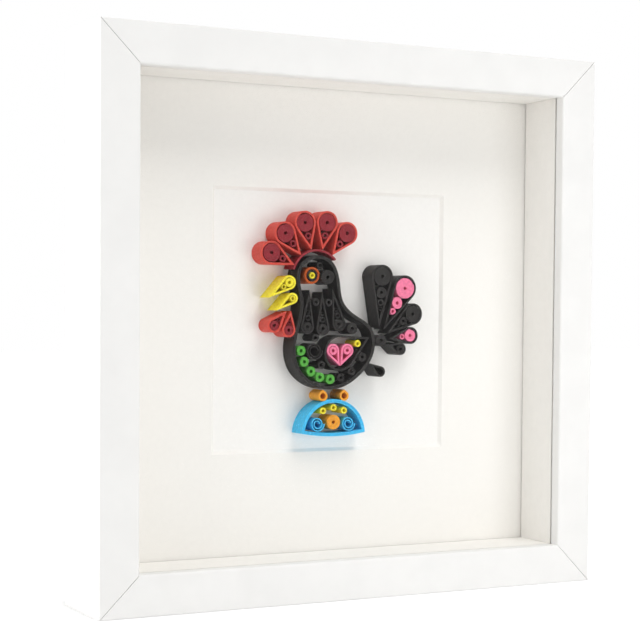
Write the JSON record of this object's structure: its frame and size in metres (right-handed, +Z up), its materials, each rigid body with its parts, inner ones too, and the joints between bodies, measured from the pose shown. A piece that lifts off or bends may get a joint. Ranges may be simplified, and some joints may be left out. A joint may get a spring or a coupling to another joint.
{
  "type": "framed quilled paper picture",
  "caption": "Deep white box frame with a clear sheet, liner and window mat around a folk cockerel made of coiled and looped paper strips stood on edge.",
  "frame": {"origin": "middle of the underside of the frame, where it stands", "axes": "+Z up, -Y out of the front, +Y towards the wall, +X to the right seen from the front"},
  "size_m": [0.25, 0.045, 0.25],
  "materials": {
    "frame_white": "smooth white foil, satin",
    "liner_white": "white paper wrap, matt",
    "clear_plastic": "clear acrylic, polished",
    "mat_white": "fine-grained mount board, matt",
    "card_white": "smooth white card, matt",
    "board_brown": "brown hardboard",
    "steel": "bright zinc plate",
    "paper_red": "dyed paper, matt",
    "paper_dark_red": "dyed paper, matt",
    "paper_black": "dyed paper, matt",
    "paper_yellow": "dyed paper, matt",
    "paper_orange": "dyed paper, matt",
    "paper_brown": "dyed paper, matt",
    "paper_pink": "dyed paper, matt",
    "paper_green": "dyed paper, matt",
    "paper_blue": "dyed paper, matt"
  },
  "bodies": {
    "root": {"back_board": "board_brown", "back_coil": "paper_black", "base_beads": "paper_yellow", "base_coils": "paper_blue", "base_outline": "paper_blue", "base_rosette": "paper_orange", "beak_lower": "paper_yellow", "beak_lower_coils": "paper_yellow", "beak_upper": "paper_yellow", "beak_upper_coils": "paper_yellow", "belly_coils": "paper_black", "body_outline": "paper_black", "breast_buds": "paper_green", "breast_coil": "paper_black", "card": "card_white", "clear_sheet": "clear_plastic", "comb_band": "paper_dark_red", "comb_coils": "paper_dark_red", "comb_loops": "paper_red", "corner_nails": "steel", "eye_centre": "paper_yellow", "eye_patch": "paper_brown", "eye_ring": "paper_black", "feather_bottom": "paper_black", "feather_bottom_coils": "paper_black", "feather_lower": "paper_black", "feather_lower_coils": "paper_pink", "feather_middle": "paper_black", "feather_middle_coils": "paper_black", "feather_top": "paper_black", "feather_top_coils": "paper_black", "feather_upper": "paper_black", "feather_upper_coils": "paper_pink", "hackle_coils": "paper_black", "hackle_loops": "paper_black", "hanger_rivets": "steel", "head_coils": "paper_black", "legs": "paper_orange", "liner_bottom": "liner_white", "liner_left": "liner_white", "liner_right": "liner_white", "liner_top": "liner_white", "neck_coils": "paper_black", "rail_bottom": "frame_white", "rail_left": "frame_white", "rail_right": "frame_white", "rail_top": "frame_white", "rump_coil": "paper_black", "sawtooth_hanger": "steel", "spring_tabs": "steel", "spur": "paper_black", "tail_coil": "paper_black", "wattle_coils": "paper_dark_red", "wattles": "paper_red", "window_mat": "mat_white", "wing_bead": "paper_yellow", "wing_heart": "paper_pink", "wing_heart_coils": "paper_pink", "wing_outline": "paper_black"}
  },
  "joints": []
}
